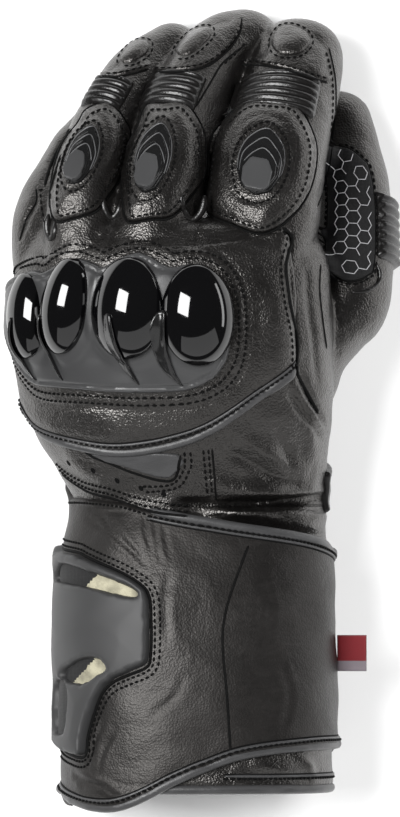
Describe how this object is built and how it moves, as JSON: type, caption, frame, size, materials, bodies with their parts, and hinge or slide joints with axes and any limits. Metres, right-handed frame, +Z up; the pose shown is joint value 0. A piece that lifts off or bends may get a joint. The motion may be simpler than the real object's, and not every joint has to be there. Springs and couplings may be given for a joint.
{
  "type": "motorcycle glove",
  "caption": "Black leather motorcycle gauntlet glove for the left hand, lying palm down, with moulded knuckle armour, finger sliders and a wrist guard.",
  "frame": {"origin": "centre of the bounding box, on the surface that the glove lies on", "axes": "+X towards the thumb, +Y from the hem to the fingertips, +Z up from the back of the hand"},
  "size_m": [0.1432, 0.2898, 0.0979],
  "materials": {
    "leather": "grained, semi-gloss",
    "trim": "smooth satin",
    "moulding": "fine satin",
    "gloss": "high gloss",
    "foam": "matte foam",
    "mesh": "cloth printed with a silver net",
    "tag": "woven"
  },
  "bodies": {
    "root": {"hand_back": "leather", "hand_palm": "leather", "gauntlet": "leather", "index_stall_back": "leather", "index_stall_palm": "leather", "middle_stall_back": "leather", "middle_stall_palm": "leather", "ring_stall_back": "leather", "ring_stall_palm": "leather", "little_stall_back": "leather", "little_stall_palm": "leather", "thumb_stall_back": "leather", "thumb_stall_palm": "leather", "ring_finger_pad": "leather", "middle_finger_pad": "leather", "index_finger_pad": "leather", "ring_flex_ribs": "leather", "middle_flex_ribs": "leather", "index_flex_ribs": "leather", "thumb_flex_ribs": "leather", "ring_tip_patch": "leather", "middle_tip_patch": "leather", "index_tip_patch": "leather", "back_panel": "leather", "wrist_flap": "leather", "wrist_strap": "leather", "flap_binding_top": "trim", "flap_binding_bottom": "trim", "knuckle_binding": "trim", "gauntlet_binding": "trim", "back_insert": "trim", "ring_slider": "moulding", "middle_slider": "moulding", "index_slider": "moulding", "knuckle_frame": "moulding", "wrist_guard": "moulding", "knuckle_dome_little": "gloss", "knuckle_dome_ring": "gloss", "knuckle_dome_middle": "gloss", "knuckle_dome_index": "gloss", "wrist_guard_foam": "foam", "thumb_mesh_panel": "mesh", "side_tag": "tag"}
  },
  "joints": []
}
